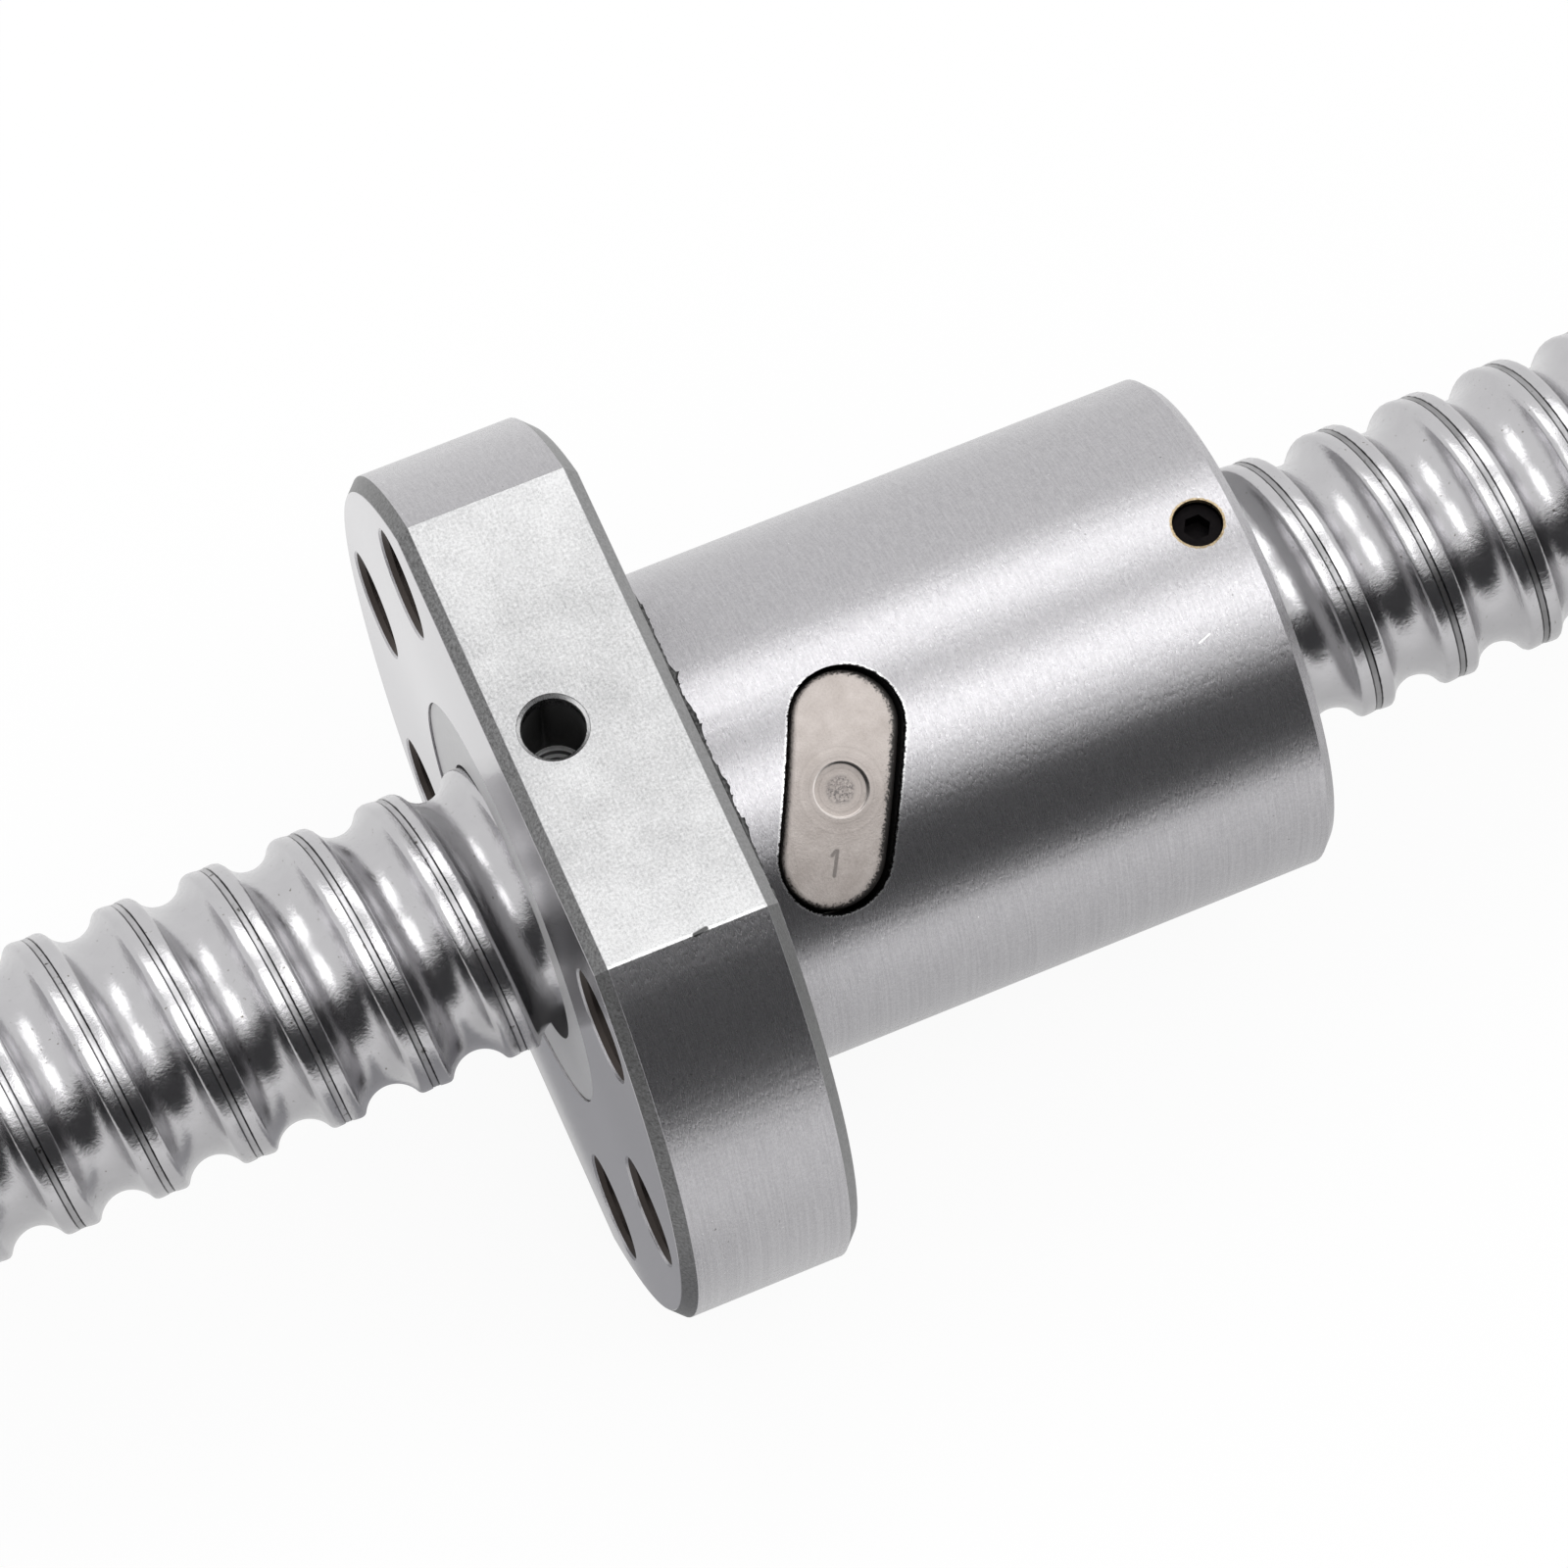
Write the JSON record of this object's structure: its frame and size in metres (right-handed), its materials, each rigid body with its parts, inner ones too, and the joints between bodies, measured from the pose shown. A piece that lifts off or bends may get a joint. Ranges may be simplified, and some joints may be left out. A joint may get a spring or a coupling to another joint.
{
  "type": "ball screw",
  "caption": "Rolled right-hand ball screw with a flanged ball nut that turns screw rotation into straight travel along the screw.",
  "frame": {"origin": "on the screw axis, in the plane of the flange's mounting face", "axes": "+X along the screw towards the nut's free end, +Z out through the upper flat with the grease hole"},
  "size_m": [0.2, 0.048, 0.04],
  "materials": {
    "nut_steel": "ground steel, bright milled flats, fine tool marks round the body",
    "screw_steel": "rolled and polished bearing steel, mirror bright grooves",
    "ball_steel": "polished chrome steel balls",
    "insert_alloy": "satin, warm grey, lightly pitted",
    "wiper_plastic": "light grey moulded plastic",
    "lock_screw_steel": "small headless screw, yellow passivated"
  },
  "bodies": {
    "nut": {"nut_body": "nut_steel", "return_insert_1": "insert_alloy", "return_insert_2": "insert_alloy", "return_insert_3": "insert_alloy", "ball_1_01": "ball_steel", "ball_1_02": "ball_steel", "ball_1_03": "ball_steel", "ball_1_04": "ball_steel", "ball_1_05": "ball_steel", "ball_1_06": "ball_steel", "ball_1_07": "ball_steel", "ball_1_08": "ball_steel", "ball_1_09": "ball_steel", "ball_1_10": "ball_steel", "ball_1_11": "ball_steel", "ball_1_12": "ball_steel", "ball_1_13": "ball_steel", "ball_1_14": "ball_steel", "ball_1_15": "ball_steel", "ball_1_16": "ball_steel", "ball_2_01": "ball_steel", "ball_2_02": "ball_steel", "ball_2_03": "ball_steel", "ball_2_04": "ball_steel", "ball_2_05": "ball_steel", "ball_2_06": "ball_steel", "ball_2_07": "ball_steel", "ball_2_08": "ball_steel", "ball_2_09": "ball_steel", "ball_2_10": "ball_steel", "ball_2_11": "ball_steel", "ball_2_12": "ball_steel", "ball_2_13": "ball_steel", "ball_2_14": "ball_steel", "ball_2_15": "ball_steel", "ball_2_16": "ball_steel", "ball_3_01": "ball_steel", "ball_3_02": "ball_steel", "ball_3_03": "ball_steel", "ball_3_04": "ball_steel", "ball_3_05": "ball_steel", "ball_3_06": "ball_steel", "ball_3_07": "ball_steel", "ball_3_08": "ball_steel", "ball_3_09": "ball_steel", "ball_3_10": "ball_steel", "ball_3_11": "ball_steel", "ball_3_12": "ball_steel", "ball_3_13": "ball_steel", "ball_3_14": "ball_steel", "ball_3_15": "ball_steel", "ball_3_16": "ball_steel", "wiper_lock_screw": "lock_screw_steel"},
    "wipers": {"wiper_front": "wiper_plastic", "wiper_rear": "wiper_plastic"},
    "screw": {"screw_shaft": "screw_steel"}
  },
  "joints": [
    {"name": "screw_turn", "type": "hinge", "parent": "nut", "child": "wipers", "pos_m": [0, 0, 0], "axis": [1, 0, 0], "range_deg": [-5400, 5400]},
    {"name": "screw_travel", "type": "slide", "parent": "wipers", "child": "screw", "axis": [1, 0, 0], "range_m": [-0.075, 0.075]}
  ],
  "couplings": [
    {"joint": "screw_turn", "follows": "screw_travel", "rad_per_m": 1256.6}
  ]
}
